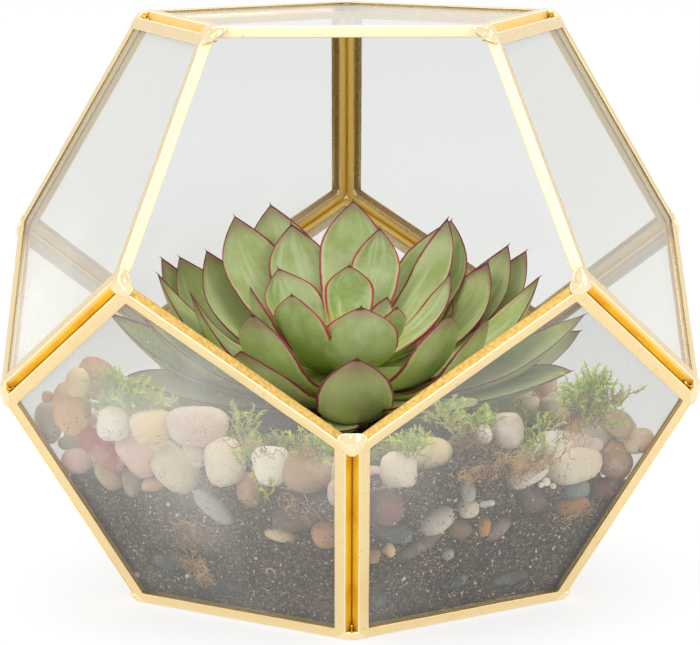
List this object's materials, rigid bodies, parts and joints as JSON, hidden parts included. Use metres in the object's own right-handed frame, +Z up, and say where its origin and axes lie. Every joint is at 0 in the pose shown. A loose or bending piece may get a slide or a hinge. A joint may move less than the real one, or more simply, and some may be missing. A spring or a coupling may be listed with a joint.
{
  "type": "glass plant terrarium",
  "caption": "Faceted brass-framed glass terrarium with an open front window, holding a green succulent rosette in soil with pebbles and moss.",
  "frame": {"origin": "middle of the base, on the surface that it stands on", "axes": "+Z up, the open window faces -Y, +X to the viewer's right when facing the window"},
  "size_m": [0.2168, 0.2278, 0.1834],
  "materials": {
    "brass": "polished channel with a soft sheen",
    "solder": "smooth plated solder",
    "glass": "clear sheet glass with a light haze",
    "soil": "dark crumbly potting soil with white specks",
    "pebbles": "smooth river pebbles in mixed colours",
    "leaf": "waxy succulent leaf with a pale bloom and red edges",
    "moss": "fine green moss"
  },
  "bodies": {
    "root": {"came_lower_front_left": "brass", "glass_lower_front_left": "glass", "came_lower_front_right": "brass", "glass_lower_front_right": "glass", "came_lower_left": "brass", "glass_lower_left": "glass", "came_lower_right": "brass", "glass_lower_right": "glass", "came_lower_back": "brass", "glass_lower_back": "glass", "came_upper_left": "brass", "glass_upper_left": "glass", "came_upper_right": "brass", "glass_upper_right": "glass", "came_upper_back_left": "brass", "glass_upper_back_left": "glass", "came_upper_back_right": "brass", "glass_upper_back_right": "glass", "came_top": "brass", "glass_top": "glass", "came_base": "brass", "glass_base": "glass", "solder_base_1": "solder", "solder_base_2": "solder", "solder_base_3": "solder", "solder_base_4": "solder", "solder_base_5": "solder", "solder_low_1": "solder", "solder_low_2": "solder", "solder_low_3": "solder", "solder_low_4": "solder", "solder_low_5": "solder", "solder_high_1": "solder", "solder_high_2": "solder", "solder_high_3": "solder", "solder_high_4": "solder", "solder_high_5": "solder", "solder_top_1": "solder", "solder_top_2": "solder", "solder_top_3": "solder", "solder_top_4": "solder", "solder_top_5": "solder", "soil": "soil", "pebbles_front_left": "pebbles", "pebbles_front_right": "pebbles", "pebbles_left": "pebbles", "pebbles_right": "pebbles", "pebbles_back": "pebbles", "rosette": "leaf", "moss_front_left": "moss", "moss_front_near_left": "moss", "moss_front_near_right": "moss", "moss_front_right": "moss", "moss_back": "moss"}
  },
  "joints": []
}
